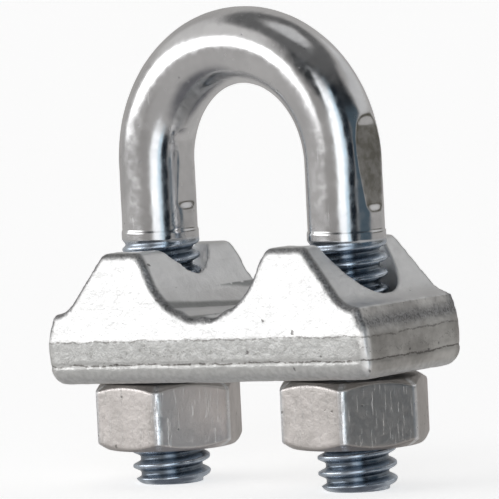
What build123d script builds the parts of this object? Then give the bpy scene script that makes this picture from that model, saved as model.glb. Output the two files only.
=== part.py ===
"""Wire rope clip: a U-bolt, a cast saddle and two hex nuts.

Millimetres.  +Z runs up the legs towards the bow, X joins the two legs and Y is
the way the rope runs.  The origin is midway between the stud ends, at their level.
"""
from build123d import *
import os
from math import cos, radians, sin, tan

# ---- U-bolt -------------------------------------------------------------------
LEG_SPACING = 19.0        # between the two leg axes
ROD_R = 3.10              # plain rod
BOW_CENTRE_Z = 26.2       # centre of the half-round bow
SHOULDER_Z = 20.5         # where the thread stops
GROOVE_TOP_Z = 20.08      # centre of the thread groove at its upper end
COLLAR_R = 3.28           # metal raised by the die at the shoulder
COLLAR_H = 1.0            # height of its taper up to the plain rod
FLARE_H = 0.33            # height of its flare below the shoulder
GRIP_OUT = ((12.42, 22.7), (11.90, 29.6))   # flats left by the bending jaws:
GRIP_IN = ((6.62, 22.9), (6.40, 28.4))      # x and z of their lower and upper ends
# thread, 1/4-20, right hand
PITCH = 1.27
MAJOR_R = 3.175
ROOT_R = 2.53
GROOVE_W = 0.29           # groove width at the root
MOUTH_W = 1.07            # groove width at the crest
HELIX_LOW = -2 * PITCH    # the stud's groove starts here, the nut's half a pitch later
PLAY = 0.10               # room between the nut's thread and the stud's
POINT_H = 0.75            # chamfer on the stud ends
# ---- nuts ---------------------------------------------------------------------
NUT_AF = 11.11            # 7/16 in across flats
NUT_H = 5.45
NUT_Z = 3.65              # underside of the right nut
NUT_TOP_Z = NUT_Z + NUT_H
NUT_TURN = -2.5           # degrees, the right nut's hexagon from square to X
NUT_WIND = -178.5         # degrees that the left nut is wound on from there
NUT_FACE_R = 5.3          # flat face left by the corner chamfers
NUT_CHAMFER = 30          # degrees
NUT_BORE_R = 2.66         # crest of the nut's thread
NUT_THREAD_R = 2.56       # inner radius of the helical bar that taps the nut
NUT_TAP_LOW = 2.5 * PITCH # where that bar starts, half a pitch off the stud's groove
NUT_MOUTH_R = 3.35        # countersink at both ends of the thread
NUT_REACH = 7.4           # a radius past the nut's corners, for the tool that turns them
# ---- saddle, in its own frame: underside at 0, centred on the rope ---------------
SADDLE_AT = (0.15, -0.45, 9.0)
SADDLE_TILT = 2.0         # degrees; the nuts are not run up evenly
SADDLE_W = 32.8
SADDLE_D = 14.0
CORNER_R = 2.4            # plan corners at the back
FRONT_CORNER_R = 1.6
BOTTOM_R = 1.5            # rolled lower edge
RIM_H = 3.6               # upright rim band
PLATEAU_H = 5.85
PLATEAU_X = 15.4          # outer edge of the plateau
EAR_H = 10.65
EAR_X = (6.45, 10.3)      # crest of an ear, inner and outer end
EAR_FOOT_X = 14.6         # where the ear's outer slope meets the plateau
EAR_R = 0.9               # rounding at the ends of the crest
FOOT_R = 1.5              # rounding at the foot of the slope
VALLEY_H = 5.3
VALLEY_R = 5.85           # rope groove
VALLEY_SPAN = 72          # degrees of groove each side of its lowest point
DRAFT_IN = 0.75           # how far the faces lean in, from rim to crest
HOLE_R = 4.15             # cast leg holes

LEG_X = LEG_SPACING / 2
LEGS = (-LEG_X, LEG_X)


def helix_bar(inner_r, outer_r, inner_w, outer_w, low, high):
    """A right-hand helical bar about Z with a trapezoid section, for cutting threads."""
    with BuildPart() as bar:
        with BuildLine():
            path = Helix(pitch=PITCH, height=high - low, radius=inner_r, center=(0, 0, low))
        with BuildSketch(Plane(origin=path @ 0, x_dir=(1, 0, 0), z_dir=path % 0)):
            Polygon((0, -inner_w / 2), (outer_r - inner_r, -outer_w / 2),
                    (outer_r - inner_r, outer_w / 2), (0, inner_w / 2), align=None)
        sweep(path=path, is_frenet=True)
    return bar.part


def grip_flat(lower, upper, reach):
    """The wedge of rod that a bending jaw pressed flat, on the +X leg."""
    (x_low, z_low), (x_high, z_high) = lower, upper
    with BuildPart() as wedge:
        with BuildSketch(Plane.XZ):
            Polygon((x_low, z_low), (x_high, z_high), (x_high + reach, z_high),
                    (x_low + reach, z_low), align=None)
        extrude(amount=ROD_R, both=True)
    return wedge.part


# ---- U-bolt -------------------------------------------------------------------
flats = [grip_flat(*GRIP_OUT, ROD_R), grip_flat(*GRIP_IN, -ROD_R)]
over_r = MAJOR_R + PLAY
over_w = GROOVE_W + (MOUTH_W - GROOVE_W) * (over_r - ROOT_R) / (MAJOR_R - ROOT_R)
stud_groove = helix_bar(ROOT_R, over_r, GROOVE_W, over_w, HELIX_LOW, GROOVE_TOP_Z)

with BuildPart() as u_bolt:
    with BuildLine() as bend:
        Line((LEG_X, 0, SHOULDER_Z), (LEG_X, 0, BOW_CENTRE_Z))
        ThreePointArc((LEG_X, 0, BOW_CENTRE_Z), (0, 0, BOW_CENTRE_Z + LEG_X),
                      (-LEG_X, 0, BOW_CENTRE_Z))
        Line((-LEG_X, 0, BOW_CENTRE_Z), (-LEG_X, 0, SHOULDER_Z))
    with BuildSketch(Plane.XY.offset(SHOULDER_Z)):
        with Locations((LEG_X, 0)):
            Circle(ROD_R)
    sweep(path=bend.line)
    for flat in flats:
        add(flat, mode=Mode.SUBTRACT)
        add(mirror(flat, about=Plane.YZ, mode=Mode.PRIVATE), mode=Mode.SUBTRACT)
    for x in LEGS:
        with BuildSketch(Plane.XZ):
            Polygon((x, 0), (x + MAJOR_R - POINT_H, 0), (x + MAJOR_R, POINT_H),
                    (x + MAJOR_R, SHOULDER_Z - FLARE_H), (x + COLLAR_R, SHOULDER_Z),
                    (x + ROD_R, SHOULDER_Z + COLLAR_H), (x, SHOULDER_Z + COLLAR_H), align=None)
        revolve(axis=Axis((x, 0, 0), (0, 0, 1)))
    with Locations(*[(x, 0, 0) for x in LEGS]):
        add(stud_groove, mode=Mode.SUBTRACT)

nut_groove_r = MAJOR_R + PLAY
flank_slope = (MOUTH_W - GROOVE_W) / (MAJOR_R - ROOT_R)
crest_w = PITCH - MOUTH_W + PLAY
ridge_w = crest_w + flank_slope * (nut_groove_r - NUT_THREAD_R)
tap = helix_bar(NUT_THREAD_R, nut_groove_r, ridge_w, crest_w, NUT_TAP_LOW, NUT_TOP_Z + PITCH)
flank_h = (NUT_REACH - NUT_FACE_R) * tan(radians(NUT_CHAMFER))
bevel_h = NUT_MOUTH_R - NUT_BORE_R

# one tapped hex nut, both faces chamfered, in mesh with a stud on the Z axis
with BuildPart() as nut:
    with BuildSketch(Plane.XY.offset(NUT_Z)):
        RegularPolygon(NUT_AF / 2, 6, major_radius=False, rotation=NUT_TURN)
    extrude(amount=NUT_H)
    with BuildSketch(Plane.XZ):
        Polygon((0, NUT_Z), (NUT_FACE_R, NUT_Z), (NUT_REACH, NUT_Z + flank_h),
                (NUT_REACH, NUT_TOP_Z - flank_h), (NUT_FACE_R, NUT_TOP_Z), (0, NUT_TOP_Z),
                align=None)
    revolve(axis=Axis.Z, mode=Mode.INTERSECT)
    with BuildSketch(Plane.XZ):
        Polygon((0, NUT_Z), (NUT_MOUTH_R, NUT_Z), (NUT_BORE_R, NUT_Z + bevel_h),
                (NUT_BORE_R, NUT_TOP_Z - bevel_h), (NUT_MOUTH_R, NUT_TOP_Z), (0, NUT_TOP_Z),
                align=None)
    revolve(axis=Axis.Z, mode=Mode.SUBTRACT)
    add(tap, mode=Mode.SUBTRACT)

# the left nut is wound further down its stud, so both threads stay in mesh
with BuildPart(Location((LEG_X, 0, 0))) as nut_right:
    add(nut.part)
unwound = Location((-LEG_X, 0, NUT_WIND / 360 * PITCH), (0, 0, NUT_WIND))
with BuildPart(unwound) as nut_left:
    add(nut.part)

# ---- saddle -------------------------------------------------------------------
groove_z = VALLEY_H + VALLEY_R
lip_x = VALLEY_R * sin(radians(VALLEY_SPAN))
lip_z = groove_z - VALLEY_R * cos(radians(VALLEY_SPAN))

with BuildPart() as casting:
    # the twin-eared outline, run through the depth
    with BuildSketch(Plane.XZ) as outline:
        with BuildLine():
            ThreePointArc((-lip_x, lip_z), (0, VALLEY_H), (lip_x, lip_z))
            for side in (-1, 1):
                Polyline((side * lip_x, lip_z), (side * EAR_X[0], EAR_H), (side * EAR_X[1], EAR_H),
                         (side * EAR_FOOT_X, PLATEAU_H), (side * PLATEAU_X, PLATEAU_H),
                         (side * SADDLE_W / 2, RIM_H), (side * SADDLE_W / 2, 0))
            Line((-SADDLE_W / 2, 0), (SADDLE_W / 2, 0))
        make_face()
        crests = [v for v in outline.vertices() if v.Y > EAR_H - EAR_R / 2]
        fillet(crests, EAR_R)
        feet = [v for v in outline.vertices() if abs(abs(v.X) - EAR_FOOT_X) < EAR_R / 2]
        fillet(feet, FOOT_R)
    extrude(amount=SADDLE_D, both=True)
    # upright rim, faces leaning in above it, rolled lower edge
    with BuildSketch(Plane.YZ.offset(-SADDLE_W)) as section:
        Polygon((-SADDLE_D / 2, -RIM_H), (SADDLE_D / 2, -RIM_H), (SADDLE_D / 2, RIM_H),
                (SADDLE_D / 2 - DRAFT_IN, EAR_H), (SADDLE_D / 2 - DRAFT_IN, 2 * EAR_H),
                (DRAFT_IN - SADDLE_D / 2, 2 * EAR_H), (DRAFT_IN - SADDLE_D / 2, EAR_H),
                (-SADDLE_D / 2, RIM_H), align=None)
    extrude(amount=2 * SADDLE_W, mode=Mode.INTERSECT)
    # plan corners, sharper at the front
    with BuildSketch(Plane.XY) as plan:
        Rectangle(SADDLE_W, SADDLE_D)
        fillet(plan.vertices().group_by(Axis.Y)[-1], CORNER_R)
        fillet(plan.vertices().group_by(Axis.Y)[0], FRONT_CORNER_R)
    extrude(amount=2 * EAR_H, mode=Mode.INTERSECT)
    # rolled lower edge, leg holes
    fillet(casting.faces().sort_by(Axis.Z)[0].edges(), BOTTOM_R)
    with Locations(*[(x, 0, 0) for x in LEGS]):
        Cylinder(HOLE_R, 3 * EAR_H, mode=Mode.SUBTRACT)

# the casting leans in its own plane, riding on the unevenly run-up nuts
lean = Location(SADDLE_AT, (0, -SADDLE_TILT, 0))
with BuildPart() as saddle:
    add(casting.part.moved(lean))

# ---- names and files ----------------------------------------------------------
os.makedirs("parts", exist_ok=True)
u_bolt.part.label = "u_bolt"
export_step(u_bolt.part, "parts/u_bolt.step")
saddle.part.label = "saddle"
export_step(saddle.part, "parts/saddle.step")
nut_left.part.label = "nut_left"
export_step(nut_left.part, "parts/nut_left.step")
nut_right.part.label = "nut_right"
export_step(nut_right.part, "parts/nut_right.step")
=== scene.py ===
"""Wire rope clip: U-bolt, cast saddle and two hex nuts, finished in zinc.

Shapes are worked out in millimetres in the frame's own axes and written to the
meshes in metres: +Z up the legs, X from leg to leg, Y along the rope.
"""
from math import cos, pi, radians, sin, tan

import bpy
import numpy as np
from mathutils import Matrix, Vector, noise


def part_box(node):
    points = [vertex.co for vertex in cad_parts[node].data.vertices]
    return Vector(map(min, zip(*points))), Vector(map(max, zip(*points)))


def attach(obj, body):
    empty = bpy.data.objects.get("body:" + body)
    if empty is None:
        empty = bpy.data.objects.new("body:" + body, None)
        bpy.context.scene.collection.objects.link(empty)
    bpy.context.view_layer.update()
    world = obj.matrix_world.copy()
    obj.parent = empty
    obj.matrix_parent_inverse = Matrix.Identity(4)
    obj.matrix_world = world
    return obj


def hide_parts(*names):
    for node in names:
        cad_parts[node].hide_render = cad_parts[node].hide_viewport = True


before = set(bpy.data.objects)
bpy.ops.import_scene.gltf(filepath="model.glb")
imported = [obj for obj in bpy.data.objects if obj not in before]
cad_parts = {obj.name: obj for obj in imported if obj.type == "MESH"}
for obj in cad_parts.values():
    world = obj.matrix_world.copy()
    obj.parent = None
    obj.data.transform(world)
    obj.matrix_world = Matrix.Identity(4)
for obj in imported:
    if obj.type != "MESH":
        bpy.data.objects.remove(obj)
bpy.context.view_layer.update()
MM = 0.001


def node_box(node):
    """A CAD node's lowest and highest corners, in millimetres."""
    low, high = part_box(node)
    return np.array(low) / MM, np.array(high) / MM


BOLT_HIGH = node_box("u_bolt")[1]
NUTS = {"nut_left": node_box("nut_left"), "nut_right": node_box("nut_right")}

# ---- U-bolt: the flats that the bending jaws pressed are (x, z) below and above ---
ROD_R = 3.10
COLLAR_R = 3.28
LEG_X = BOLT_HIGH[0] - COLLAR_R
BOW_CENTRE_Z = BOLT_HIGH[2] - LEG_X - ROD_R
SHOULDER_Z = 20.5
GRIP_OUT = ((12.42, 22.7), (11.90, 29.6))
GRIP_IN = ((6.62, 22.9), (6.40, 28.4))
PITCH = 1.27
MAJOR_R = 3.175
ROOT_R = 2.53
GROOVE_W = 0.29
MOUTH_W = 1.07
HELIX_LOW = -2 * PITCH
POINT_H = 0.75
END_DISC = 2.4
BAR_ROWS, BAR_COLUMNS = 1120, 81

# ---- nuts: the edge is the rolled corner between the wall and the chamfer ----------
NUT_AF = 11.11
NUT_FACE_R = 5.3
NUT_SLOPE = tan(radians(30))
NUT_MOUTH_R = 3.35
NUT_TURN = {"nut_left": -1.0, "nut_right": -2.5}
PLAY = 0.10
NUT_BORE_R = ROOT_R + 1.3 * PLAY
NUT_COLUMNS = 180
BORE_ROWS_PER_TURN = 18
CORNER_EASE = 0.10
CORNER_SPAN = 5
EDGE_IN = 0.16
EDGE_H = 0.28
EDGE_DIP = 0.05
WALL_INSET = 0.25
WALL_ROWS = 20
DENT = (1.6, 0.012)
WALL_SINK = 0.004
FACE_COS = 0.87

# ---- saddle, in its own frame: its underside at z 0 --------------------------------
SADDLE_AT = (0.15, -0.45, 9.0)
SADDLE_TILT = 2.0
SADDLE_W = 32.8
SADDLE_D = 14.0
CORNER_R = 2.4
FRONT_CORNER_R = 1.3
SHARP_CORNER_R = 0.45
BOTTOM_R = 1.5
RIM_H = 3.6
PLATEAU_H = 5.85
PLATEAU_X = 15.4
EAR_H = 10.65
EAR_X = (6.45, 10.3)
EAR_FOOT_X = 14.2
VALLEY_H = 5.3
VALLEY_R = 5.85
VALLEY_SPAN = 72
DRAFT_IN = 0.75
HOLE_R = 4.15
EAR_R = 0.9
EAR_FOOT_R = 2.5
PLATEAU_R = 0.35
RIM_R = 0.5
HOLE_EDGE_R = 0.22
# rounding of the front and back: at the bottom, above, and where it changes
ROLL_LOW, ROLL_HIGH = 1.5, 0.62
ROLL_FROM, ROLL_SPAN = 1.6, 1.4
# a 45 degree corner loses this share of its rounding; given back near both ends
ROUND_SHARE = 0.293
DRAWN_FROM, DRAWN_SPAN = 14.5, 1.9
# the swell under the middle: height, then its reach along x, y and z
SWELL_H = 0.38
SWELL_REACH = (3.0, 6.0, 2.0)
SWELL_ROOM = 0.5
# strands of the rope printed in the seat
LAY_STEP, LAY_LEAN, LAY_SHIFT = 2.3, 0.12, 0.4
LAY_DEPTH = 0.14
LAY_REACH = 4.2
LAY_Z = (3, 9)
# the cold crease along the rim
CREASE_Z = 1.62
CREASE_DEPTH, CREASE_W = 0.09, 0.11
CREASE_SWAY, CREASE_RATE = 0.05, 0.9
# unevenness of the skin: size, seed and height of each noise
SKIN_WAVES = (1.1, 5, 0.022)
SKIN_GRAIN = (0.45, 6, 0.014)
BROW_GRAIN = (0.28, 7, 0.05)
END_GRAIN = (0.5, 8, 0.06)
BAND_WAVES = (1.5, 9, 0.12)
SKIN_SINK = 0.03
# sampling of the distance field and of its slope
FIELD_STEP, QUICK_STEP = 0.17, 0.30
SLOPE_REACH = 0.02
LEAST_SLOPE = 0.3


# ---- small tools ----------------------------------------------------------------
def smooth(low, high, value):
    """0 below low, 1 above high, smooth between, for arrays."""
    t = np.clip((value - low) / (high - low), 0, 1)
    return t * t * (3 - 2 * t)


def lumps(points, size, seed):
    """Smooth noise, about -1 to 1, at each point; size is in millimetres."""
    shift = Vector((seed * 17.3, seed * 5.1, seed * 9.7))
    return np.array([noise.noise(Vector(p) / size + shift) for p in points])


def uneven(points, size, seed, height):
    """The same noise, as a height in millimetres."""
    return lumps(points, size, seed) * height


def new_object(name, verts, faces, body, material, replaces):
    """A finished piece: a smooth-shaded mesh in metres that stands for a CAD node."""
    mesh = bpy.data.meshes.new(name)
    mesh.from_pydata((np.asarray(verts) * MM).tolist(), [], faces)
    mesh.validate()
    mesh.shade_smooth()
    mesh.materials.append(material)
    made = bpy.data.objects.new(name, mesh)
    bpy.context.scene.collection.objects.link(made)
    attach(made, body)
    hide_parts(replaces)
    return made


def paint(made, name, values):
    """Gives every vertex a value that the finish can read."""
    layer = made.data.attributes.new(name, "FLOAT", "POINT")
    layer.data.foreach_set("value", np.asarray(values, dtype=np.float32))


def grid_faces(rows, cols):
    """Quads over a grid whose rows and columns both close on themselves."""
    faces = []
    for i in range(rows):
        j = (i + 1) % rows
        for k in range(cols):
            m = (k + 1) % cols
            faces.append((i * cols + k, i * cols + m, j * cols + m, j * cols + k))
    return faces


# ---- nuts --------------------------------------------------------------------------
def nut_thread(angle, z):
    """The nut's own groove: the stud's ridge with room all round it."""
    turns = (z - HELIX_LOW) / PITCH - angle / (2 * pi)
    off = np.abs(turns - np.floor(turns) - 0.5) * PITCH
    half_crest = (PITCH - MOUTH_W) / 2 + PLAY
    half_root = (PITCH - GROOVE_W) / 2 + PLAY
    fall = np.clip((half_root - off) / (half_root - half_crest), 0, 1)
    return ROOT_R + (MAJOR_R + PLAY - ROOT_R) * fall


def chamfer(radius):
    """How far the chamfer has fallen from the nut's face at a radius."""
    return np.maximum(radius - NUT_FACE_R, 0) * NUT_SLOPE


def make_nut(node, material):
    """Rings of points up the wall, in over the top, down the bore and out below."""
    low, high = NUTS[node]
    z_low, z_high = low[2], high[2]
    side = -1 if node == "nut_left" else 1
    turn = radians(NUT_TURN[node])
    angle = np.arange(NUT_COLUMNS) * 2 * pi / NUT_COLUMNS
    swing = (angle - turn) % (pi / 3) - pi / 6
    hexagon = NUT_AF / 2 / np.cos(swing)
    corner_r = NUT_AF / 2 / cos(pi / 6)
    soft = smooth(radians(30 - CORNER_SPAN), radians(30), np.abs(swing))
    outer = hexagon - CORNER_EASE * soft * (hexagon / corner_r)
    brink = outer - EDGE_IN
    drop = chamfer(outer)
    rows = []

    def row(radius, z):
        rows.append(np.stack((radius * np.cos(angle), radius * np.sin(angle), z + 0 * angle), 1))

    edge = np.sin(np.linspace(0, pi / 2, 6))
    for e in edge:
        row(brink + EDGE_IN * e, z_low + drop - EDGE_DIP + EDGE_H * (1 - np.sqrt(1 - e * e)))
    for t in np.linspace(0, 1, WALL_ROWS + 2)[1:-1]:
        row(outer, (z_low + drop + WALL_INSET) * (1 - t) + (z_high - drop - WALL_INSET) * t)
    for e in edge[::-1]:
        row(brink + EDGE_IN * e, z_high - drop + EDGE_DIP - EDGE_H * (1 - np.sqrt(1 - e * e)))
    for t in (0.35, 0.75, 1.0):
        radius = brink * (1 - t) + NUT_FACE_R * t
        row(radius, z_high - chamfer(radius))
    for t in (0.2, 0.6, 0.9, 1.0):
        row(NUT_FACE_R * (1 - t) + NUT_MOUTH_R * t, z_high)
    for z in np.linspace(z_high, z_low, int((z_high - z_low) / PITCH * BORE_ROWS_PER_TURN)):
        thread = np.maximum(NUT_BORE_R, nut_thread(angle, z))
        mouth = NUT_MOUTH_R - np.minimum(z_high - z, z - z_low)
        row(np.maximum(thread, mouth), z)
    for t in (1.0, 0.9, 0.6, 0.2):
        row(NUT_FACE_R * (1 - t) + NUT_MOUTH_R * t, z_low)
    for t in (1.0, 0.75, 0.35):
        radius = brink * (1 - t) + NUT_FACE_R * t
        row(radius, z_low + chamfer(radius))
    points = np.array(rows)
    points[..., 0] += side * LEG_X
    flat = points.reshape(-1, 3)
    dent_size, dent_depth = DENT
    dents = lumps(flat, dent_size, 3 + side) * dent_depth
    spread = flat[:, :2] - np.array([side * LEG_X, 0])
    reach = np.linalg.norm(spread, axis=1)
    wall = smooth(NUT_FACE_R, NUT_FACE_R + 0.2, reach)
    flat[:, :2] -= spread / reach[:, None] * ((np.abs(dents) + WALL_SINK) * wall)[:, None]
    faces = grid_faces(len(points), NUT_COLUMNS)
    made = new_object(node + "_hex", flat, faces, node, material, node)
    # a painted highlight along the nut's corners
    corner = np.tile(smooth(radians(26.5), radians(29.2), np.abs(swing)), len(points))
    paint(made, "corner", corner * wall)
    # painted light on one face of the left nut and painted shade on the same face of the right nut
    lit = np.tile((np.cos(angle - turn + pi / 6) > FACE_COS) * 1.0, len(points))
    paint(made, "painted_face_shading", lit * wall)
    return made


# ---- saddle: a solid given by its distance field --------------------------------------
def rounded_outline(corners):
    """Points round a closed outline whose corners are (x, z, radius)."""
    points = []
    count = len(corners)
    for i, (x, z, r) in enumerate(corners):
        here = np.array([x, z])
        if r == 0:
            points.append(here)
            continue
        before = np.array(corners[i - 1][:2]) - here
        after = np.array(corners[(i + 1) % count][:2]) - here
        before = before / np.linalg.norm(before)
        after = after / np.linalg.norm(after)
        half = np.arccos(np.clip(before @ after, -1, 1)) / 2
        trim = r / tan(half)
        middle = here + (before + after) / np.linalg.norm(before + after) * r / sin(half)
        start = here + before * trim - middle
        end = here + after * trim - middle
        first = np.arctan2(start[1], start[0])
        sweep = (np.arctan2(end[1], end[0]) - first + pi) % (2 * pi) - pi
        for t in np.linspace(0, 1, 7):
            points.append(middle + r * np.array([cos(first + sweep * t), sin(first + sweep * t)]))
    return np.array(points)


def saddle_outline():
    """Front view of the saddle, the valley first, as points round a closed line."""
    lip = radians(VALLEY_SPAN)
    valley = [(VALLEY_R * sin(a), VALLEY_H + VALLEY_R * (1 - cos(a)), 0)
              for a in np.linspace(lip, -lip, 33)]
    half = [(EAR_X[0], EAR_H, EAR_R), (EAR_X[1], EAR_H, EAR_R),
            (EAR_FOOT_X, PLATEAU_H, EAR_FOOT_R), (PLATEAU_X, PLATEAU_H, PLATEAU_R),
            (SADDLE_W / 2, RIM_H, RIM_R), (SADDLE_W / 2, 0, BOTTOM_R)]
    left = [(-x, z, r) for x, z, r in half]
    return rounded_outline(valley + left + half[::-1])


OUTLINE = saddle_outline()


def outline_distance(x, z):
    """Signed distance to the outline, negative inside."""
    best = np.full(np.shape(x), 1e9)
    sign = np.ones(np.shape(x))
    ends = np.roll(OUTLINE, 1, axis=0)
    for (ax, az), (bx, bz) in zip(OUTLINE, ends):
        ex, ez = bx - ax, bz - az
        wx, wz = x - ax, z - az
        t = np.clip((wx * ex + wz * ez) / (ex * ex + ez * ez), 0, 1)
        best = np.minimum(best, (wx - ex * t) ** 2 + (wz - ez * t) ** 2)
        above, below = z >= az, z < bz
        left_of = ex * wz > ez * wx
        flip = (above & below & left_of) | (~above & ~below & ~left_of)
        sign = np.where(flip, -sign, sign)
    return sign * np.sqrt(best)


def meet(a, b, r):
    """Where two solids overlap, the edge between them rounded to r."""
    u, v = np.maximum(a + r, 0), np.maximum(b + r, 0)
    return np.minimum(-r, np.maximum(a, b)) + np.sqrt(u * u + v * v)


def plan_distance(x, y, z):
    """Signed distance to the plan, leaning in above the rim."""
    lean = DRAFT_IN * np.clip((z - RIM_H) / (EAR_H - RIM_H), 0, 1)
    corner = np.where(y > 0, CORNER_R, np.where(x > 0, SHARP_CORNER_R, FRONT_CORNER_R))
    qx = np.abs(x) - SADDLE_W / 2 + corner
    qy = np.abs(y) + lean - SADDLE_D / 2 + corner
    outside = np.sqrt(np.maximum(qx, 0) ** 2 + np.maximum(qy, 0) ** 2)
    return outside + np.minimum(np.maximum(qx, qy), 0) - corner


def brow_radius(z):
    """Rounding where the faces meet the outline: rolled below, tighter above."""
    return ROLL_LOW + (ROLL_HIGH - ROLL_LOW) * np.clip((z - ROLL_FROM) / ROLL_SPAN, 0, 1)


def drawn_out(x, z):
    """x before the rounding has taken its share off both ends."""
    near_end = np.clip((np.abs(x) - DRAWN_FROM) / DRAWN_SPAN, 0, 1)
    return x - np.sign(x) * ROUND_SHARE * brow_radius(z) * near_end


def rope_lay(x, y):
    """1 on each printed strand, -1 between two of them."""
    return np.cos((x - LAY_LEAN * y + LAY_SHIFT) * 2 * pi / LAY_STEP)


def saddle_distance(x, y, z, outline=None):
    """Signed distance to the casting, negative inside."""
    x = drawn_out(x, z)
    if outline is None:
        outline = outline_distance(x, z)
    wide, deep, tall = SWELL_REACH
    swell = SWELL_H * np.clip(1 - (x / wide) ** 2, 0, 1) ** 2 * np.clip(1 - (y / deep) ** 2, 0, 1)
    outline = outline - swell * np.clip(1 - z / tall, 0, 1)
    seat = np.clip(1 - (x / LAY_REACH) ** 2, 0, 1) * (z > LAY_Z[0]) * (z < LAY_Z[1])
    outline = outline + LAY_DEPTH * rope_lay(x, y) * seat
    solid = meet(plan_distance(x, y, z), outline, brow_radius(z))
    off = z - CREASE_Z - CREASE_SWAY * np.sin(x * CREASE_RATE)
    solid = solid + CREASE_DEPTH * np.exp(-(off / CREASE_W) ** 2)
    for leg in (-LEG_X, LEG_X):
        hole = HOLE_R - np.sqrt((x - leg) ** 2 + y ** 2)
        solid = meet(solid, hole, HOLE_EDGE_R)
    return solid


def surface_net(field, low, step):
    """Quads on the zero level of a sampled field."""
    inside = field < 0
    cells = tuple(n - 1 for n in field.shape)
    total = np.zeros(cells + (3,))
    hits = np.zeros(cells)
    for axis in range(3):
        for a in (0, 1):
            for b in (0, 1):
                start = [a, b]
                start.insert(axis, 0)
                stop = list(start)
                stop[axis] = 1
                cut0 = tuple(slice(o, o + n) for o, n in zip(start, cells))
                cut1 = tuple(slice(o, o + n) for o, n in zip(stop, cells))
                v0, v1 = field[cut0], field[cut1]
                cross = inside[cut0] != inside[cut1]
                t = v0[cross] / (v0[cross] - v1[cross])
                place = np.tile(np.array(start, float), (len(t), 1))
                place[:, axis] += t
                total[cross] += place
                hits[cross] += 1
    used = hits > 0
    index = np.full(cells, -1)
    index[used] = np.arange(used.sum())
    where = np.argwhere(used)
    verts = (where + total[used] / hits[used][:, None]) * step + low
    quads = []
    for axis in range(3):
        one, two = (axis + 1) % 3, (axis + 2) % 3
        head = [slice(None)] * 3
        tail = [slice(None)] * 3
        head[axis], tail[axis] = slice(0, -1), slice(1, None)
        cross = inside[tuple(head)] != inside[tuple(tail)]
        spots = np.argwhere(cross)
        spots = spots[(spots[:, one] > 0) & (spots[:, two] > 0)]
        outward = inside[tuple(spots.T)]
        ring = []
        for d_one, d_two in ((1, 1), (0, 1), (0, 0), (1, 0)):
            cell = spots.copy()
            cell[:, one] -= d_one
            cell[:, two] -= d_two
            ring.append(index[tuple(cell.T)])
        ring = np.stack(ring, 1)
        quads.append(np.where(outward[:, None], ring, ring[:, ::-1]))
    return verts, np.vstack(quads)


def make_saddle(material):
    """The casting: its field netted, drawn onto the exact surface, then roughened."""
    step = FIELD_STEP
    half = np.array([SADDLE_W / 2, SADDLE_D / 2]) + 2 * step
    xs = np.arange(-half[0], half[0] + step, step)
    ys = np.arange(-half[1], half[1] + step, step)
    zs = np.arange(-SWELL_ROOM - 2 * step, EAR_H + 3 * step, step)
    flat_x, flat_z = np.meshgrid(xs, zs, indexing="ij")
    outline = outline_distance(drawn_out(flat_x, flat_z), flat_z)[:, None, :]
    grid = np.meshgrid(xs, ys, zs, indexing="ij")
    field = saddle_distance(*grid, outline=np.broadcast_to(outline, grid[0].shape))
    verts, quads = surface_net(field, np.array([xs[0], ys[0], zs[0]]), step)
    for _ in range(2):
        here = saddle_distance(*verts.T)
        slope = np.stack([(saddle_distance(*(verts + SLOPE_REACH * e).T)
                           - saddle_distance(*(verts - SLOPE_REACH * e).T)) / (2 * SLOPE_REACH)
                          for e in np.eye(3)], 1)
        size = np.maximum((slope ** 2).sum(1), LEAST_SLOPE)
        verts = verts - (here / size)[:, None] * slope
    normal = slope / np.sqrt(size)[:, None]
    edge = np.minimum(plan_distance(*verts.T), outline_distance(verts[:, 0], verts[:, 2]))
    # the rounded edges above the rim: rougher as-cast skin, and painted dark as painted shade
    brow = smooth(-0.75, -0.25, edge) * smooth(RIM_H + 0.2, RIM_H + 0.9, verts[:, 2])
    end = smooth(RIM_H - 0.1, RIM_H + 0.3, verts[:, 2])
    end = end * smooth(PLATEAU_X - 0.5, PLATEAU_X, np.abs(verts[:, 0]))
    rough = uneven(verts, *SKIN_WAVES) + uneven(verts, *SKIN_GRAIN)
    rough = rough + uneven(verts, *BROW_GRAIN) * brow
    rough = rough + uneven(verts, *END_GRAIN) * end
    verts = verts + normal * (rough - SKIN_SINK)[:, None]
    lean = Matrix.Translation(SADDLE_AT) @ Matrix.Rotation(radians(-SADDLE_TILT), 4, "Y")
    turn = np.array(lean.to_3x3())
    placed = verts @ turn.T + np.array(SADDLE_AT)
    made = new_object("saddle_casting", placed, quads.tolist(), "saddle", material, "saddle")
    # the rim band below the rim line, painted grey as painted shade
    band = 1 - smooth(RIM_H - 0.15, RIM_H + 0.10, verts[:, 2] + uneven(verts, *BAND_WAVES))
    seat = (normal[:, 2] > 0.3) * (np.abs(verts[:, 0]) < 4.4) * (verts[:, 2] > 4)
    # the seat's strand grooves, painted dark as painted shade
    lay_groove_shade = smooth(0.1, 0.9, rope_lay(*verts[:, :2].T)) * seat * (np.abs(verts[:, 1]) < 6.6)
    # the end faces, painted darker as painted shade
    side = smooth(0.6, 0.9, np.abs(normal[:, 0])) * (np.abs(verts[:, 0]) > 15)
    # a painted highlight on the front corner at the saddle's +x end
    corner_highlight = smooth(15.6, 16.0, verts[:, 0]) * (1 - smooth(-6.5, -6.1, verts[:, 1]))
    for name, values in (("brow", brow), ("band", band), ("end_slope", end), ("lay_groove_shade", lay_groove_shade),
                         ("end_face_shade", side), ("corner_highlight_mask", corner_highlight)):
        paint(made, name, values)
    return made


# ---- node tools -------------------------------------------------------------------
def set_inputs(node, values):
    """Sets a node's sockets by name; a value that is a socket is linked."""
    links = node.id_data.links
    for key, value in values.items():
        if isinstance(value, bpy.types.NodeSocket):
            links.new(value, node.inputs[key])
        else:
            node.inputs[key].default_value = value


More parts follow.
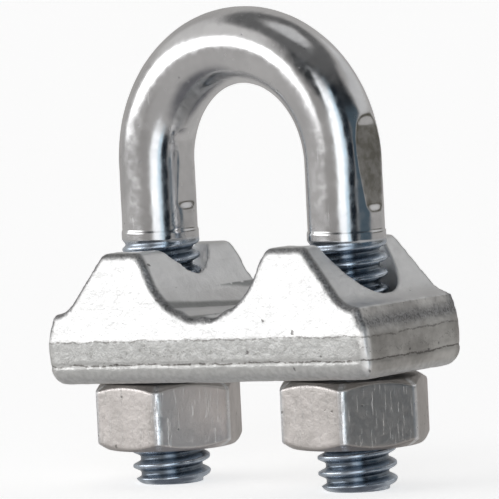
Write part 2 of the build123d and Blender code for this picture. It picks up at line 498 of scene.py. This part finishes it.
def add_node(tree, kind, inputs=None, **settings):
    """A new node with its settings and sockets given."""
    node = tree.nodes.new(kind)
    for key, value in settings.items():
        setattr(node, key, value)
    set_inputs(node, inputs or {})
    return node


def calc(tree, operation, a, b=0.0, clamp=False):
    """One sum on numbers or sockets."""
    node = add_node(tree, "ShaderNodeMath", {0: a, 1: b}, operation=operation, use_clamp=clamp)
    return node.outputs[0]


def ramp(tree, value, low, high, to_low=0.0, to_high=1.0):
    """value from low..high made smoothly into to_low..to_high."""
    node = add_node(tree, "ShaderNodeMapRange", {"Value": value, "From Min": low, "From Max": high,
                                                 "To Min": to_low, "To Max": to_high},
                    interpolation_type="SMOOTHSTEP")
    return node.outputs["Result"]


def blend_colour(tree, factor, one, two):
    """one at factor 0, two at factor 1; a mix node's colour sockets go by number."""
    node = tree.nodes.new("ShaderNodeMix")
    node.data_type = "RGBA"
    set_inputs(node, {0: factor, 6: one, 7: two})
    return node.outputs[2]


# ---- three effects that the finishes share ------------------------------------------
def effect_group(name, inputs, outputs):
    """An empty shader group with named number sockets and a Vector to work on."""
    tree = bpy.data.node_groups.new(name, "ShaderNodeTree")
    tree.interface.new_socket("Vector", in_out="INPUT", socket_type="NodeSocketVector")
    for key, value in inputs.items():
        socket = tree.interface.new_socket(key, in_out="INPUT", socket_type="NodeSocketFloat")
        socket.default_value = value
    for key in outputs:
        tree.interface.new_socket(key, in_out="OUTPUT", socket_type="NodeSocketFloat")
    return tree, tree.nodes.new("NodeGroupInput").outputs, tree.nodes.new("NodeGroupOutput").inputs


def make_mottle():
    """Cloudy patches, from Low to High."""
    tree, given, out = effect_group("plating_mottle", {"Size": 1.0, "Low": 0.0, "High": 1.0}, ["Value"])
    scale = calc(tree, "DIVIDE", 1000.0, given["Size"])
    cloud = add_node(tree, "ShaderNodeTexNoise", {"Vector": given["Vector"], "Scale": scale,
                                                  "Detail": 4.0, "Roughness": 0.55})
    even = ramp(tree, cloud.outputs["Fac"], 0.34, 0.66)
    span = calc(tree, "SUBTRACT", given["High"], given["Low"])
    tree.links.new(calc(tree, "ADD", calc(tree, "MULTIPLY", even, span), given["Low"]), out["Value"])
    return tree


def make_pits():
    """Small sunken specks; Mask is 1 in a pit."""
    tree, given, out = effect_group("casting_pits", {"Spacing": 1.0, "Reach": 0.2, "Share": 0.5}, ["Mask"])
    scale = calc(tree, "DIVIDE", 1000.0, given["Spacing"])
    wobble = add_node(tree, "ShaderNodeTexNoise", {"Vector": given["Vector"], "Scale": 2600.0,
                                                   "Detail": 2.0})
    warp = add_node(tree, "ShaderNodeVectorMath", {0: wobble.outputs["Color"], 1: (0.0004,) * 3},
                    operation="MULTIPLY")
    moved = add_node(tree, "ShaderNodeVectorMath", {0: given["Vector"], 1: warp.outputs[0]},
                     operation="ADD")
    cells = add_node(tree, "ShaderNodeTexVoronoi", {"Vector": moved.outputs[0], "Scale": scale})
    near = calc(tree, "SUBTRACT", 1.0, ramp(tree, calc(tree, "DIVIDE", cells.outputs["Distance"],
                                                        given["Reach"]), 0.5, 1.0))
    pick = add_node(tree, "ShaderNodeSeparateColor", {"Color": cells.outputs["Color"]})
    chosen = calc(tree, "LESS_THAN", pick.outputs["Red"], given["Share"])
    tree.links.new(calc(tree, "MULTIPLY", near, chosen), out["Mask"])
    return tree


def make_scratches():
    """Fine scratches running up the piece; Mask is 1 in a scratch."""
    tree, given, out = effect_group("tool_scratches", {"Width": 0.1, "Length": 3.0, "Amount": 0.5},
                                    ["Mask"])
    across = calc(tree, "DIVIDE", 1000.0, given["Width"])
    along = calc(tree, "DIVIDE", 1000.0, given["Length"])
    size = add_node(tree, "ShaderNodeCombineXYZ", {"X": across, "Y": across, "Z": along})
    sized = add_node(tree, "ShaderNodeVectorMath", {0: given["Vector"], 1: size.outputs[0]},
                     operation="MULTIPLY")
    lines = add_node(tree, "ShaderNodeTexNoise", {"Vector": sized.outputs[0], "Scale": 1.0,
                                                  "Detail": 2.0, "Roughness": 0.6})
    edge = calc(tree, "SUBTRACT", 0.78, calc(tree, "MULTIPLY", given["Amount"], 0.3))
    fine = ramp(tree, lines.outputs["Fac"], edge, calc(tree, "ADD", edge, 0.08))
    tree.links.new(fine, out["Mask"])
    return tree


MOTTLE = make_mottle()
PITS = make_pits()
SCRATCHES = make_scratches()


def use(tree, group, vector, **values):
    """The value of one of the three effects, at its own sizes."""
    node = tree.nodes.new("ShaderNodeGroup")
    node.node_tree = group
    set_inputs(node, {"Vector": vector, **values})
    return node.outputs[0]


# ---- finishes: their colours, then one function each ----------------------------------
COLOURS = {
    # U-bolt
    "plated": (0.84, 0.84, 0.85, 1), "plated_cloud": (0.72, 0.72, 0.73, 1),
    # the thread flank colours are painted shade with a painted blue reflection
    "plated_speck": (0.25, 0.25, 0.27, 1), "flank": (0.70, 0.78, 0.88, 1),
    # the thread root colour is painted shade
    "flank_cloud": (0.50, 0.57, 0.66, 1), "groove": (0.22, 0.26, 0.31, 1),
    # nuts
    "satin": (0.74, 0.70, 0.68, 1), "satin_cloud": (0.60, 0.57, 0.55, 1),
    "satin_speck": (0.20, 0.19, 0.18, 1), "scratch": (0.90, 0.90, 0.88, 1),
    # the nut corner colour is a painted highlight
    "corner": (0.97, 0.98, 1.0, 1), "dark_spot": (0.14, 0.13, 0.12, 1),
    # the nut face colours are painted light on the left nut and painted shade on the right nut
    "face_painted_light": (0.97, 0.93, 0.91, 1), "face_painted_shade": (0.66, 0.62, 0.59, 1),
    # casting
    "cast": (0.98, 0.98, 0.98, 1), "cast_cloud": (0.90, 0.90, 0.90, 1),
    # the rim band colours are painted shade
    "cast_speck": (0.15, 0.14, 0.14, 1), "band": (0.66, 0.66, 0.65, 1),
    # the end face colours are painted shade
    "band_cloud": (0.56, 0.56, 0.55, 1), "end": (0.62, 0.60, 0.57, 1),
    # the lay groove colour is painted shade in the seat's strand grooves
    "end_shade_cloud": (0.34, 0.32, 0.30, 1), "lay_groove_shade": (0.20, 0.21, 0.21, 1),
    # the saddle corner colour is a painted highlight
    "corner_highlight": (0.98, 0.97, 0.96, 1), "crease": (0.16, 0.15, 0.14, 1),
    # the brow colours are painted shade along the rounded edges, with grain
    "brow": (0.34, 0.34, 0.35, 1), "brow_shade_grain": (0.12, 0.12, 0.12, 1),
}
# a dark patch near the left nut's top corner: where it sits, in from its box, and how far it reaches
DARK_SPOT_IN = (1.2, 2.4, 0.9)
DARK_SPOT_REACH = 1.5
# dark lines along the casting's faces, painted shade in the creases at 3.55 and 1.62 mm and a dark crack
# line at 2.5 mm: height, waviness, width and strength
CREASES = ((3.55, 1.1, 0.09, 0.6), (1.62, 0.8, 0.10, 0.85), (2.5, 5.5, 0.05, 0.6))


def new_finish(name):
    """A material, its node tree, the place on the piece and the shader to fill in."""
    material = bpy.data.materials.new(name)
    material.use_nodes = True
    tree = material.node_tree
    place = add_node(tree, "ShaderNodeTexCoord").outputs["Object"]
    return material, tree, place, tree.nodes["Principled BSDF"]


def spot(tree, place, at_mm, reach_mm):
    """1 at a point, falling to 0 at reach."""
    node = add_node(tree, "ShaderNodeVectorMath", {0: place, 1: tuple(c * MM for c in at_mm)},
                    operation="DISTANCE")
    reach = reach_mm * MM
    return calc(tree, "SUBTRACT", 1.0, ramp(tree, node.outputs["Value"], reach * 0.3, reach))


def bright_zinc():
    material, tree, place, shader = new_finish("bright_zinc")
    cloud = use(tree, MOTTLE, place, Size=5.0, Low=0.0, High=1.0)
    fine = use(tree, MOTTLE, place, Size=0.8, Low=0.0, High=1.0)
    specks = use(tree, PITS, place, Spacing=1.1, Reach=0.10, Share=0.30)
    lines = use(tree, SCRATCHES, place, Width=0.22, Length=5.0, Amount=0.35)
    colour = blend_colour(tree, cloud, COLOURS["plated"], COLOURS["plated_cloud"])
    colour = blend_colour(tree, calc(tree, "MULTIPLY", specks, 0.6), colour, COLOURS["plated_speck"])
    threaded = add_node(tree, "ShaderNodeAttribute", attribute_name="threaded").outputs["Fac"]
    groove = add_node(tree, "ShaderNodeAttribute", attribute_name="groove").outputs["Fac"]
    # the threaded part painted darker and bluish: painted shade and a painted blue reflection
    flank = blend_colour(tree, fine, COLOURS["flank"], COLOURS["flank_cloud"])
    colour = blend_colour(tree, threaded, colour, flank)
    # painted shade in the roots of the thread
    colour = blend_colour(tree, groove, colour, COLOURS["groove"])
    rough = calc(tree, "ADD", calc(tree, "MULTIPLY", fine, 0.10), calc(tree, "MULTIPLY", lines, 0.12))
    rough = calc(tree, "ADD", rough, calc(tree, "MULTIPLY", threaded, 0.10))
    rough = calc(tree, "ADD", rough, 0.13)
    lift = calc(tree, "SUBTRACT", calc(tree, "MULTIPLY", fine, 0.25), specks)
    bump = add_node(tree, "ShaderNodeBump", {"Strength": 0.35, "Distance": 0.00002, "Height": lift})
    set_inputs(shader, {"Base Color": colour, "Metallic": 1.0, "Roughness": rough,
                        "Normal": bump.outputs["Normal"]})
    return material


def satin_zinc(name, face_shading_colour):
    """Barrel-plated nut; the last colour is painted on one face: painted light on the left nut, painted
    shade on the right nut.
    """
    material, tree, place, shader = new_finish(name)
    cloud = use(tree, MOTTLE, place, Size=3.2, Low=0.0, High=1.0)
    fine = use(tree, MOTTLE, place, Size=0.5, Low=0.0, High=1.0)
    specks = use(tree, PITS, place, Spacing=0.9, Reach=0.16, Share=0.35)
    lines = use(tree, SCRATCHES, place, Width=0.16, Length=2.6, Amount=0.55)
    colour = blend_colour(tree, cloud, COLOURS["satin"], COLOURS["satin_cloud"])
    # painted light and painted shade on one face of the nut
    face = add_node(tree, "ShaderNodeAttribute", attribute_name="painted_face_shading").outputs["Fac"]
    corner = add_node(tree, "ShaderNodeAttribute", attribute_name="corner").outputs["Fac"]
    colour = blend_colour(tree, calc(tree, "MULTIPLY", face, ramp(tree, cloud, 0.0, 1.0, 0.75, 1.0)),
                          colour, face_shading_colour)
    colour = blend_colour(tree, calc(tree, "MULTIPLY", lines, 0.30), colour, COLOURS["scratch"])
    # a painted highlight along the corners
    colour = blend_colour(tree, corner, colour, COLOURS["corner"])
    colour = blend_colour(tree, calc(tree, "MULTIPLY", specks, 0.7), colour, COLOURS["satin_speck"])
    # a dark patch near the left nut's top corner
    low, high = NUTS["nut_left"]
    dark_spot = (low[0] + DARK_SPOT_IN[0], low[1] + DARK_SPOT_IN[1], high[2] - DARK_SPOT_IN[2])
    dark = spot(tree, place, dark_spot, DARK_SPOT_REACH)
    colour = blend_colour(tree, calc(tree, "MULTIPLY", dark, 0.7), colour, COLOURS["dark_spot"])
    rough = calc(tree, "ADD", calc(tree, "MULTIPLY", fine, 0.10), 0.36)
    rough = calc(tree, "SUBTRACT", rough, calc(tree, "MULTIPLY", corner, 0.12))
    lift = calc(tree, "SUBTRACT", calc(tree, "ADD", calc(tree, "MULTIPLY", fine, 0.5), lines), specks)
    bump = add_node(tree, "ShaderNodeBump", {"Strength": 0.5, "Distance": 0.00003, "Height": lift})
    set_inputs(shader, {"Base Color": colour, "Metallic": 1.0, "Roughness": rough,
                        "Normal": bump.outputs["Normal"]})
    return material


def casting_level(tree, place):
    """Height above the casting's own underside, in millimetres."""
    part = add_node(tree, "ShaderNodeSeparateXYZ", {0: place}).outputs
    tilt = calc(tree, "MULTIPLY", part["X"], tan(radians(SADDLE_TILT)) / MM)
    rise = calc(tree, "SUBTRACT", calc(tree, "MULTIPLY", part["Z"], 1 / MM), SADDLE_AT[2])
    return calc(tree, "SUBTRACT", rise, tilt)


def cast_zinc():
    material, tree, place, shader = new_finish("cast_zinc")

    def painted(name):
        return add_node(tree, "ShaderNodeAttribute", attribute_name=name).outputs["Fac"]

    cloud = use(tree, MOTTLE, place, Size=3.0, Low=0.0, High=1.0)
    fine = use(tree, MOTTLE, place, Size=0.45, Low=0.0, High=1.0)
    grain = use(tree, MOTTLE, place, Size=0.18, Low=0.0, High=1.0)
    specks = use(tree, PITS, place, Spacing=1.5, Reach=0.12, Share=0.35)
    sand = use(tree, PITS, place, Spacing=0.42, Reach=0.34, Share=0.6)
    colour = blend_colour(tree, cloud, COLOURS["cast"], COLOURS["cast_cloud"])
    # the rim band painted grey: painted shade
    band = blend_colour(tree, fine, COLOURS["band"], COLOURS["band_cloud"])
    colour = blend_colour(tree, painted("band"), colour, band)
    # the end faces painted darker: painted shade
    colour = blend_colour(tree, calc(tree, "MULTIPLY", painted("end_face_shade"), 0.8), colour,
                          blend_colour(tree, cloud, COLOURS["end"], COLOURS["end_shade_cloud"]))
    # painted shade in the seat's strand grooves
    colour = blend_colour(tree, calc(tree, "MULTIPLY", painted("lay_groove_shade"), 0.75), colour,
                          COLOURS["lay_groove_shade"])
    # a painted highlight on that corner
    colour = blend_colour(tree, painted("corner_highlight_mask"), colour, COLOURS["corner_highlight"])
    level = casting_level(tree, place)
    ripple = add_node(tree, "ShaderNodeTexNoise", {"Vector": place, "Scale": 420.0, "Detail": 5.0,
                                                   "Roughness": 0.7}).outputs["Fac"]
    ripple = calc(tree, "SUBTRACT", ripple, 0.5)
    # dark lines: painted shade in two creases, and a crack line drawn dark
    for line_z, swing, width, depth in CREASES:
        off = calc(tree, "SUBTRACT", calc(tree, "SUBTRACT", level, line_z),
                   calc(tree, "MULTIPLY", ripple, swing))
        line = ramp(tree, calc(tree, "ABSOLUTE", off), width * 0.3, width, depth, 0.0)
        broken = ramp(tree, fine, 0.1, 0.5, 0.35, 1.0)
        colour = blend_colour(tree, calc(tree, "MULTIPLY", line, broken), colour,
                              COLOURS["crease"])
    # the rounded edges painted dark with grain: painted shade
    skin = blend_colour(tree, grain, COLOURS["brow"], COLOURS["brow_shade_grain"])
    colour = blend_colour(tree, calc(tree, "MULTIPLY", painted("brow"), 0.85), colour, skin)
    colour = blend_colour(tree, calc(tree, "MULTIPLY", specks, 0.75), colour, COLOURS["cast_speck"])
    rough = calc(tree, "ADD", calc(tree, "MULTIPLY", fine, 0.12), 0.36)
    lift = calc(tree, "ADD", calc(tree, "MULTIPLY", fine, 0.4), calc(tree, "MULTIPLY", grain, 0.3))
    lift = calc(tree, "SUBTRACT", lift, calc(tree, "MULTIPLY", specks, 1.5))
    rugged = calc(tree, "MULTIPLY", sand, calc(tree, "ADD", painted("brow"), painted("end_slope")))
    lift = calc(tree, "SUBTRACT", lift, calc(tree, "MULTIPLY", rugged, 1.5))
    bump = add_node(tree, "ShaderNodeBump", {"Strength": 0.5, "Distance": 0.00005, "Height": lift})
    set_inputs(shader, {"Base Color": colour, "Metallic": 0.75, "Roughness": rough,
                        "Normal": bump.outputs["Normal"]})
    return material


# ---- U-bolt: one bar, bent, threaded and pressed flat, in geometry nodes ---------------
def pressed(tree, x, z, lower, upper, reach):
    """Distance from the middle after a bending jaw has pressed its flat."""
    (x_low, z_low), (x_high, z_high) = lower, upper
    slope = (x_high - x_low) / (z_high - z_low)
    plane = calc(tree, "ADD", calc(tree, "MULTIPLY", calc(tree, "SUBTRACT", z, z_low), slope), x_low)
    held = calc(tree, "MULTIPLY", ramp(tree, z, z_low - 0.5, z_low + 0.2),
                ramp(tree, z, z_high - 0.5, z_high + 0.7, 1.0, 0.0))
    flat = calc(tree, reach, x, plane)
    return calc(tree, "ADD", x, calc(tree, "MULTIPLY", calc(tree, "SUBTRACT", flat, x), held))


def bent_bar_tree():
    """A round bar bent to a U, threaded up both legs, as a node tree with named sizes.

    Lengths inside it are in millimetres until the points are placed.
    """
    tree = bpy.data.node_groups.new("bent_threaded_bar", "GeometryNodeTree")
    sizes = {"Leg Offset": LEG_X, "Rod Radius": ROD_R, "Bow Height": BOW_CENTRE_Z,
             "Shoulder Height": SHOULDER_Z, "Pitch": PITCH, "Root Radius": ROOT_R,
             "Crest Radius": MAJOR_R, "Collar Radius": COLLAR_R, "Point": POINT_H}
    tree.interface.new_socket("Geometry", in_out="INPUT", socket_type="NodeSocketGeometry")
    for name, value in sizes.items():
        socket = tree.interface.new_socket(name, in_out="INPUT", socket_type="NodeSocketFloat")
        socket.default_value = value
    for name, value in (("Rows", BAR_ROWS), ("Columns", BAR_COLUMNS)):
        socket = tree.interface.new_socket(name, in_out="INPUT", socket_type="NodeSocketInt")
        socket.default_value = value
    tree.interface.new_socket("Finish", in_out="INPUT", socket_type="NodeSocketMaterial")
    tree.interface.new_socket("Geometry", in_out="OUTPUT", socket_type="NodeSocketGeometry")
    given = tree.nodes.new("NodeGroupInput").outputs
    leg, rod, bow, shoulder = (given[n] for n in ("Leg Offset", "Rod Radius", "Bow Height",
                                                  "Shoulder Height"))
    pitch, root, crest = given["Pitch"], given["Root Radius"], given["Crest Radius"]

    def plus(a, b):
        return calc(tree, "ADD", a, b)

    def minus(a, b):
        return calc(tree, "SUBTRACT", a, b)

    def times(a, b):
        return calc(tree, "MULTIPLY", a, b)

    sheet = add_node(tree, "GeometryNodeMeshGrid", {"Size X": 1.0, "Size Y": 1.0,
                                                    "Vertices X": given["Rows"],
                                                    "Vertices Y": given["Columns"]})
    place = add_node(tree, "ShaderNodeSeparateXYZ",
                     {0: add_node(tree, "GeometryNodeInputPosition").outputs[0]}).outputs
    # along the bar: end disc, leg, bow, leg, end disc
    arc = times(leg, pi)
    length = plus(times(bow, 2.0), arc)
    run = minus(times(plus(place["X"], 0.5), plus(length, 2 * END_DISC)), END_DISC)
    beyond = calc(tree, "MAXIMUM", times(run, -1.0), minus(run, length))
    disc = minus(1.0, calc(tree, "DIVIDE", beyond, END_DISC, clamp=True))
    run = calc(tree, "MINIMUM", calc(tree, "MAXIMUM", run, 0.0), length)
    bend = calc(tree, "DIVIDE", minus(run, bow), leg)
    bend = calc(tree, "MINIMUM", calc(tree, "MAXIMUM", bend, 0.0), pi)
    out_x = times(calc(tree, "COSINE", bend), -1.0)
    out_z = calc(tree, "SINE", bend)
    drop = plus(calc(tree, "MAXIMUM", minus(bow, run), 0.0),
                calc(tree, "MAXIMUM", minus(minus(run, bow), arc), 0.0))
    mid_x = times(out_x, leg)
    mid_z = minus(plus(bow, times(out_z, leg)), drop)
    # round the bar
    swing = times(plus(place["Y"], 0.5), 2 * pi)
    away, deep = calc(tree, "COSINE", swing), calc(tree, "SINE", swing)
    angle = calc(tree, "ARCTAN2", deep, times(out_x, away))
    # thread, its run-out, the collar and the pointed end
    turns = minus(calc(tree, "DIVIDE", minus(mid_z, HELIX_LOW), pitch),
                  calc(tree, "DIVIDE", angle, 2 * pi))
    off = times(calc(tree, "ABSOLUTE", minus(turns, calc(tree, "ROUND", turns))), pitch)
    flank = add_node(tree, "ShaderNodeMapRange", {"Value": off, "From Min": GROOVE_W / 2,
                                                  "From Max": MOUTH_W / 2}).outputs[0]
    curved = ramp(tree, off, GROOVE_W / 2, MOUTH_W / 2)
    rise = plus(times(flank, 0.35), times(curved, 0.65))
    thread = plus(root, times(minus(crest, root), rise))
    collar = plus(crest, times(minus(given["Collar Radius"], crest),
                               ramp(tree, mid_z, minus(shoulder, 0.6), minus(shoulder, 0.15))))
    collar = plus(collar, times(minus(rod, given["Collar Radius"]),
                                ramp(tree, mid_z, minus(shoulder, 0.05), plus(shoulder, 0.35))))
    run_out = ramp(tree, mid_z, minus(shoulder, 1.5), minus(shoulder, 0.3))
    radius = plus(thread, times(minus(collar, thread), run_out))
    tip = calc(tree, "DIVIDE", mid_z, given["Point"], clamp=True)
    tip = plus(minus(crest, given["Point"]), times(calc(tree, "SQRT", tip), given["Point"]))
    radius = calc(tree, "MINIMUM", radius, tip)
    # where the thread's roots get painted shade
    groove = times(minus(1.0, ramp(tree, radius, root, crest)),
                   times(calc(tree, "LESS_THAN", mid_z, minus(shoulder, 0.2)),
                         calc(tree, "GREATER_THAN", mid_z, 0.4)))
    threaded = ramp(tree, mid_z, minus(shoulder, 0.8), minus(shoulder, 0.3), 1.0, 0.0)
    # slow waves left by drawing and plating
    skin = add_node(tree, "ShaderNodeCombineXYZ", {0: plus(mid_x, times(times(out_x, away), rod)),
                                                   1: times(deep, rod),
                                                   2: plus(mid_z, times(times(out_z, away), rod))})
    wave = add_node(tree, "ShaderNodeTexNoise", {"Vector": skin.outputs[0], "Scale": 0.42,
                                                 "Detail": 2.0}).outputs["Fac"]
    calm = minus(1.0, times(threaded, 0.75))
    radius = minus(radius, times(plus(0.012, times(minus(wave, 0.5), 0.06)), calm))
    radius = times(radius, disc)
    x = plus(mid_x, times(times(out_x, away), radius))
    z = plus(mid_z, times(times(out_z, away), radius))
    size = pressed(tree, calc(tree, "ABSOLUTE", x), z, *GRIP_OUT, "MINIMUM")
    size = pressed(tree, size, z, *GRIP_IN, "MAXIMUM")
    x = times(calc(tree, "SIGN", x), size)
    spot_at = add_node(tree, "ShaderNodeCombineXYZ", {0: times(x, MM), 1: times(times(deep, radius), MM),
                                                      2: times(z, MM)})
    shape = sheet.outputs["Mesh"]
    for name, value in (("groove", groove), ("threaded", threaded)):
        kept = add_node(tree, "GeometryNodeStoreNamedAttribute", {"Geometry": shape, "Name": name},
                        data_type="FLOAT", domain="POINT")
        tree.links.new(value, next(s for s in kept.inputs if s.name == "Value" and s.enabled))
        shape = kept.outputs[0]
    shape = add_node(tree, "GeometryNodeSetPosition", {"Geometry": shape,
                                                       "Position": spot_at.outputs[0]}).outputs[0]
    shape = add_node(tree, "GeometryNodeMergeByDistance", {"Geometry": shape,
                                                           "Distance": 0.000002}).outputs[0]
    shape = add_node(tree, "GeometryNodeRealizeInstances", {"Geometry": shape}).outputs[0]
    shape = add_node(tree, "GeometryNodeSetMaterial", {"Geometry": shape,
                                                       "Material": given["Finish"]}).outputs[0]
    end = tree.nodes.new("NodeGroupOutput")
    tree.links.new(shape, end.inputs["Geometry"])
    return tree


def make_u_bolt(material):
    """The bar from its node tree, made a plain mesh."""
    carrier = bpy.data.objects.new("u_bolt_bar_maker", bpy.data.meshes.new("u_bolt_bar_maker"))
    bpy.context.scene.collection.objects.link(carrier)
    modifier = carrier.modifiers.new("bent_threaded_bar", "NODES")
    modifier.node_group = bent_bar_tree()
    for item in modifier.node_group.interface.items_tree:
        if item.in_out == "INPUT" and item.name == "Finish":
            modifier[item.identifier] = material
    bpy.context.view_layer.update()
    shaped = carrier.evaluated_get(bpy.context.evaluated_depsgraph_get())
    mesh = bpy.data.meshes.new_from_object(shaped)
    bpy.data.objects.remove(carrier)
    mesh.name = "u_bolt_bar"
    mesh.shade_smooth()
    made = bpy.data.objects.new("u_bolt_bar", mesh)
    bpy.context.scene.collection.objects.link(made)
    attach(made, "u_bolt")
    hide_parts("u_bolt")
    return made


# ---- floor, light and camera ------------------------------------------------------------
CAMERA_AZ, CAMERA_EL, CAMERA_ROLL = 37.93, 4.29, -2.81
CAMERA_DISTANCE = 0.432
CAMERA_AIM_Z = 0.01915
CAMERA_AIM_SIDE = -0.000278
CAMERA_LENS = 386.3


def make_floor():
    """A pale floor that gives off some light and is not seen in reflections."""
    mesh = bpy.data.meshes.new("floor")
    mesh.from_pydata([(-3, -3, 0), (3, -3, 0), (3, 3, 0), (-3, 3, 0)], [], [(0, 1, 2, 3)])
    floor = bpy.data.objects.new("floor", mesh)
    bpy.context.scene.collection.objects.link(floor)
    material = bpy.data.materials.new("pale_floor")
    material.use_nodes = True
    set_inputs(material.node_tree.nodes["Principled BSDF"],
               {"Base Color": (0.93, 0.93, 0.93, 1), "Roughness": 0.9, "Specular IOR Level": 0.1,
                "Emission Color": (1, 1, 1, 1), "Emission Strength": 0.62})
    mesh.materials.append(material)
    floor.visible_glossy = False


# light and dark cards standing round the piece, later ones in front: bearing from the
# camera's own and its softness, elevation and its softness, in degrees, then the colour
ROOM = (0.42, 0.41, 0.40)
CARDS = [
    ("floor_glow", -400, 400, 1, -100, -14, 8, (0.45, 0.44, 0.43)),
    ("under", -400, 400, 1, -100, -50, 10, (0.14, 0.14, 0.15)),
    ("front_ceiling", -50, 80, 14, 19, 100, 8, (0.02, 0.022, 0.025)),
    ("left_ceiling", -140, -58, 10, 22, 50, 6, (0.60, 0.59, 0.58)),
    ("high_ceiling", -400, 400, 1, 50, 74, 6, (0.12, 0.12, 0.12)),
    ("roof_light", -400, 400, 1, 76, 100, 4, (0.55, 0.55, 0.55)),
    ("warm_wall", -62, -26, 5, -14, 22, 6, (0.33, 0.32, 0.31)),
    ("key_softbox", -112, -56, 8, 3, 22, 5, (2.90, 2.90, 2.90)),
    ("strip_light", -20, 4, 3, -30, 40, 8, (1.35, 1.38, 1.40)),
    ("strip_edge", 3, 12, 3, -30, 40, 8, (0.72, 0.92, 1.06)),
    ("black_flag", 13, 34, 3, -35, 45, 8, (0.010, 0.014, 0.020)),
    ("cool_wall", 37, 78, 5, -14, 30, 8, (0.07, 0.10, 0.125)),
    ("dark_gap", 82, 130, 6, -1, 10, 3, (0.09, 0.085, 0.07)),
    ("right_softbox", 84, 150, 8, 15, 40, 6, (0.60, 0.60, 0.60)),
]


def make_world():
    """The room and its cards, as colour by direction; white straight to the camera."""
    world = bpy.data.worlds.new("studio")
    bpy.context.scene.world = world
    world.use_nodes = True
    tree = world.node_tree
    tree.nodes.clear()
    place = add_node(tree, "ShaderNodeTexCoord").outputs["Generated"]
    part = add_node(tree, "ShaderNodeSeparateXYZ", {0: place}).outputs
    bearing = calc(tree, "ARCTAN2", part["X"], calc(tree, "MULTIPLY", part["Y"], -1.0))
    bearing = calc(tree, "SUBTRACT", calc(tree, "DEGREES", bearing), CAMERA_AZ)
    bearing = calc(tree, "WRAP", bearing, 180.0)
    bearing.node.inputs[2].default_value = -180.0
    height = calc(tree, "DEGREES", calc(tree, "ARCSINE", part["Z"]))
    colour = add_node(tree, "ShaderNodeRGB").outputs[0]
    colour.default_value = ROOM + (1,)
    for _, left, right, soft, low, high, fade, tint in CARDS:
        wide = calc(tree, "MULTIPLY", ramp(tree, bearing, left - soft, left + soft),
                    ramp(tree, bearing, right - soft, right + soft, 1.0, 0.0))
        tall = calc(tree, "MULTIPLY", ramp(tree, height, low - fade, low + fade),
                    ramp(tree, height, high - fade, high + fade, 1.0, 0.0))
        colour = blend_colour(tree, calc(tree, "MULTIPLY", wide, tall), colour, tint + (1,))
    seen = add_node(tree, "ShaderNodeLightPath").outputs["Is Camera Ray"]
    colour = blend_colour(tree, seen, colour, (1, 1, 1, 1))
    glow = add_node(tree, "ShaderNodeBackground", {"Color": colour})
    end = add_node(tree, "ShaderNodeOutputWorld")
    tree.links.new(glow.outputs[0], end.inputs["Surface"])


def make_camera():
    """A long lens at the bearing, elevation and roll given above."""
    a, e, roll = radians(CAMERA_AZ), radians(CAMERA_EL), radians(CAMERA_ROLL)
    back = Vector((sin(a) * cos(e), -cos(a) * cos(e), sin(e)))
    right = Vector((cos(a), sin(a), 0))
    up = back.cross(right)
    side = right * cos(roll) + up * sin(roll)
    top = up * cos(roll) - right * sin(roll)
    aim = Vector((0, 0, CAMERA_AIM_Z)) + right * CAMERA_AIM_SIDE
    camera = bpy.data.objects.new("camera", bpy.data.cameras.new("camera"))
    bpy.context.scene.collection.objects.link(camera)
    turn = Matrix((side, top, back)).transposed().to_4x4()
    camera.matrix_world = Matrix.Translation(aim + back * CAMERA_DISTANCE) @ turn
    camera.data.lens = CAMERA_LENS
    camera.data.sensor_width = 36
    bpy.context.scene.camera = camera


# ---- the pieces, then what stands round them ----------------------------------------------
make_u_bolt(bright_zinc())
# the left nut's finish paints light on one face, the right nut's finish paints shade on it
make_nut("nut_left", satin_zinc("satin_zinc", COLOURS["face_painted_light"]))
make_nut("nut_right", satin_zinc("satin_zinc_shaded_face", COLOURS["face_painted_shade"]))
make_saddle(cast_zinc())
make_floor()
make_world()
make_camera()
bpy.context.scene.view_settings.view_transform = "Standard"
